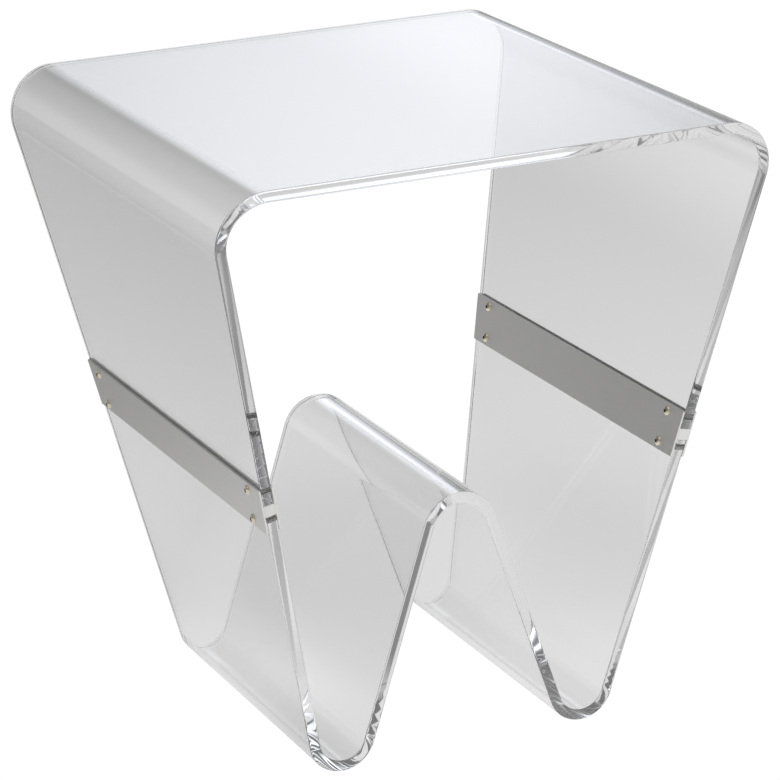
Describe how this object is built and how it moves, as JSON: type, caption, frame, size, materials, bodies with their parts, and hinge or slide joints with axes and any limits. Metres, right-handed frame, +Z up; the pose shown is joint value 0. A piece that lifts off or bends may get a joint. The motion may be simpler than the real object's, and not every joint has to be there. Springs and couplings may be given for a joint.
{
  "type": "magazine rack side table",
  "caption": "Clear bent-acrylic side table with two V-shaped magazine pockets around a central hump, joined at mid height by flat metal straps.",
  "frame": {"origin": "on the floor, under the middle of the rack", "axes": "+X across the rack to the right, +Y from front to back, +Z up"},
  "size_m": [0.481, 0.478, 0.533],
  "materials": {
    "clear_acrylic": "clear, polished faces and edges",
    "satin_metal_strap": "satin, fine grain along the strap",
    "polished_fastener": "polished nickel with a slightly warm tone"
  },
  "bodies": {
    "root": {"table_top_sheet": "clear_acrylic", "magazine_base_sheet": "clear_acrylic", "left_joint_bar": "satin_metal_strap", "left_outer_strap": "satin_metal_strap", "left_inner_strap": "satin_metal_strap", "right_joint_bar": "satin_metal_strap", "right_outer_strap": "satin_metal_strap", "right_inner_strap": "satin_metal_strap", "left_front_lower_bolt": "polished_fastener", "left_front_upper_bolt": "polished_fastener", "left_rear_lower_bolt": "polished_fastener", "left_rear_upper_bolt": "polished_fastener", "right_front_lower_bolt": "polished_fastener", "right_front_upper_bolt": "polished_fastener", "right_rear_lower_bolt": "polished_fastener", "right_rear_upper_bolt": "polished_fastener", "left_front_lower_sleeve_nut": "polished_fastener", "left_front_upper_sleeve_nut": "polished_fastener", "left_rear_lower_sleeve_nut": "polished_fastener", "left_rear_upper_sleeve_nut": "polished_fastener", "right_front_lower_sleeve_nut": "polished_fastener", "right_front_upper_sleeve_nut": "polished_fastener", "right_rear_lower_sleeve_nut": "polished_fastener", "right_rear_upper_sleeve_nut": "polished_fastener"}
  },
  "joints": []
}
